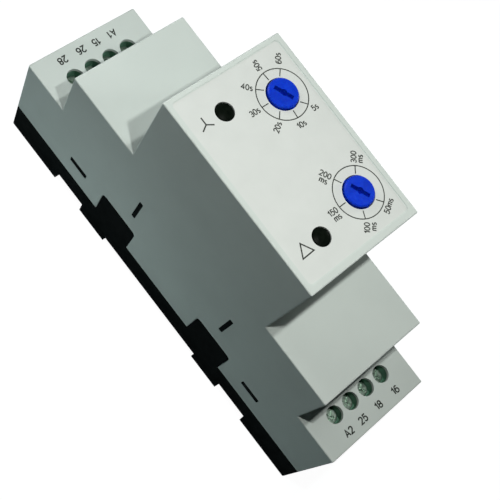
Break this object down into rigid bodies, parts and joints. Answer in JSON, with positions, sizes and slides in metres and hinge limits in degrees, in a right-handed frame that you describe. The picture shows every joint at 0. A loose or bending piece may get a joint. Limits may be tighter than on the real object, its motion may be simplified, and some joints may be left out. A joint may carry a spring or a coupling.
{
  "type": "delay timer",
  "caption": "Rail-mounted star-delta delay timer: stepped housing, two time dials with lamps, screw terminals at both ends and a spring clip for a 35 mm rail.",
  "frame": {"origin": "middle of the back, on the plane of the feet that the device lies on", "axes": "+X along the mounting rail, to the right seen from the front; +Y along the housing towards the A1 end; +Z out of the rail towards the front"},
  "size_m": [0.03, 0.11, 0.0706],
  "materials": {
    "cover_plastic": "fine moulded texture, pale green-grey",
    "base_plastic": "satin black moulding",
    "label_film": "printed matt film",
    "knob_plastic": "satin blue moulding",
    "pot_plastic": "satin moulding",
    "lamp_lens": "polished smoked lens",
    "dark_plastic": "matt black moulding",
    "board_laminate": "green solder resist",
    "can_sleeve": "shrink sleeve",
    "film_resin": "cast resin",
    "terminal_plastic": "green moulding",
    "contact_metal": "tinned",
    "screw_steel": "zinc plated",
    "clamp_metal": "nickel plated",
    "spring_steel": "bright wire"
  },
  "bodies": {
    "housing": {"front_cover": "cover_plastic", "base": "base_plastic", "clip_spring": "spring_steel", "front_label": "label_film", "pot_star": "pot_plastic", "pot_delta": "pot_plastic", "lamp_star": "lamp_lens", "lamp_delta": "lamp_lens", "lamp_spacers": "dark_plastic", "main_board": "board_laminate", "riser_board": "board_laminate", "front_board": "board_laminate", "timing_chip": "dark_plastic", "relay_one": "dark_plastic", "relay_two": "dark_plastic", "smoothing_capacitor": "can_sleeve", "film_capacitor": "film_resin", "terminal_block_upper": "terminal_plastic", "terminal_block_lower": "terminal_plastic", "contact_strips_upper": "contact_metal", "contact_strips_lower": "contact_metal"},
    "rail_clip": {"rail_clip": "base_plastic"},
    "knob_star": {"knob_star": "knob_plastic"},
    "knob_delta": {"knob_delta": "knob_plastic"},
    "screw_28": {"screw_28": "screw_steel"},
    "screw_26": {"screw_26": "screw_steel"},
    "screw_15": {"screw_15": "screw_steel"},
    "screw_a1": {"screw_a1": "screw_steel"},
    "screw_16": {"screw_16": "screw_steel"},
    "screw_18": {"screw_18": "screw_steel"},
    "screw_25": {"screw_25": "screw_steel"},
    "screw_a2": {"screw_a2": "screw_steel"},
    "clamp_28": {"clamp_28": "clamp_metal"},
    "clamp_26": {"clamp_26": "clamp_metal"},
    "clamp_15": {"clamp_15": "clamp_metal"},
    "clamp_a1": {"clamp_a1": "clamp_metal"},
    "clamp_16": {"clamp_16": "clamp_metal"},
    "clamp_18": {"clamp_18": "clamp_metal"},
    "clamp_25": {"clamp_25": "clamp_metal"},
    "clamp_a2": {"clamp_a2": "clamp_metal"}
  },
  "joints": [
    {"name": "rail_clip_slide", "type": "slide", "parent": "housing", "child": "rail_clip", "axis": [0, -1, 0], "range_m": [0, 0.003], "stiffness_N_per_m": 1000, "springref_m": -0.002, "deforming": ["clip_spring"]},
    {"name": "knob_star_turn", "type": "hinge", "parent": "housing", "child": "knob_star", "pos_m": [0.007, 0.01165, 0.0706], "axis": [0, 0, -1], "range_deg": [-18, 252]},
    {"name": "knob_delta_turn", "type": "hinge", "parent": "housing", "child": "knob_delta", "pos_m": [0.007, -0.01235, 0.0706], "axis": [0, 0, -1], "range_deg": [-18, 252]},
    {"name": "screw_28_turn", "type": "hinge", "parent": "housing", "child": "screw_28", "pos_m": [-0.00762, 0.0474, 0.0274], "axis": [0, 0, -1], "range_deg": [0, 1800]},
    {"name": "clamp_28_rise", "type": "slide", "parent": "housing", "child": "clamp_28", "axis": [0, 0, 1], "range_m": [0, 0.0025]},
    {"name": "screw_26_turn", "type": "hinge", "parent": "housing", "child": "screw_26", "pos_m": [-0.00254, 0.0474, 0.0274], "axis": [0, 0, -1], "range_deg": [0, 1800]},
    {"name": "clamp_26_rise", "type": "slide", "parent": "housing", "child": "clamp_26", "axis": [0, 0, 1], "range_m": [0, 0.0025]},
    {"name": "screw_15_turn", "type": "hinge", "parent": "housing", "child": "screw_15", "pos_m": [0.00254, 0.0474, 0.0274], "axis": [0, 0, -1], "range_deg": [0, 1800]},
    {"name": "clamp_15_rise", "type": "slide", "parent": "housing", "child": "clamp_15", "axis": [0, 0, 1], "range_m": [0, 0.0025]},
    {"name": "screw_a1_turn", "type": "hinge", "parent": "housing", "child": "screw_a1", "pos_m": [0.00762, 0.0474, 0.0274], "axis": [0, 0, -1], "range_deg": [0, 1800]},
    {"name": "clamp_a1_rise", "type": "slide", "parent": "housing", "child": "clamp_a1", "axis": [0, 0, 1], "range_m": [0, 0.0025]},
    {"name": "screw_16_turn", "type": "hinge", "parent": "housing", "child": "screw_16", "pos_m": [0.00762, -0.0474, 0.0274], "axis": [0, 0, -1], "range_deg": [0, 1800]},
    {"name": "clamp_16_rise", "type": "slide", "parent": "housing", "child": "clamp_16", "axis": [0, 0, 1], "range_m": [0, 0.0025]},
    {"name": "screw_18_turn", "type": "hinge", "parent": "housing", "child": "screw_18", "pos_m": [0.00254, -0.0474, 0.0274], "axis": [0, 0, -1], "range_deg": [0, 1800]},
    {"name": "clamp_18_rise", "type": "slide", "parent": "housing", "child": "clamp_18", "axis": [0, 0, 1], "range_m": [0, 0.0025]},
    {"name": "screw_25_turn", "type": "hinge", "parent": "housing", "child": "screw_25", "pos_m": [-0.00254, -0.0474, 0.0274], "axis": [0, 0, -1], "range_deg": [0, 1800]},
    {"name": "clamp_25_rise", "type": "slide", "parent": "housing", "child": "clamp_25", "axis": [0, 0, 1], "range_m": [0, 0.0025]},
    {"name": "screw_a2_turn", "type": "hinge", "parent": "housing", "child": "screw_a2", "pos_m": [-0.00762, -0.0474, 0.0274], "axis": [0, 0, -1], "range_deg": [0, 1800]},
    {"name": "clamp_a2_rise", "type": "slide", "parent": "housing", "child": "clamp_a2", "axis": [0, 0, 1], "range_m": [0, 0.0025]}
  ],
  "couplings": [
    {"joint": "screw_28_turn", "follows": "clamp_28_rise", "rad_per_m": 12566},
    {"joint": "screw_26_turn", "follows": "clamp_26_rise", "rad_per_m": 12566},
    {"joint": "screw_15_turn", "follows": "clamp_15_rise", "rad_per_m": 12566},
    {"joint": "screw_a1_turn", "follows": "clamp_a1_rise", "rad_per_m": 12566},
    {"joint": "screw_16_turn", "follows": "clamp_16_rise", "rad_per_m": 12566},
    {"joint": "screw_18_turn", "follows": "clamp_18_rise", "rad_per_m": 12566},
    {"joint": "screw_25_turn", "follows": "clamp_25_rise", "rad_per_m": 12566},
    {"joint": "screw_a2_turn", "follows": "clamp_a2_rise", "rad_per_m": 12566}
  ]
}
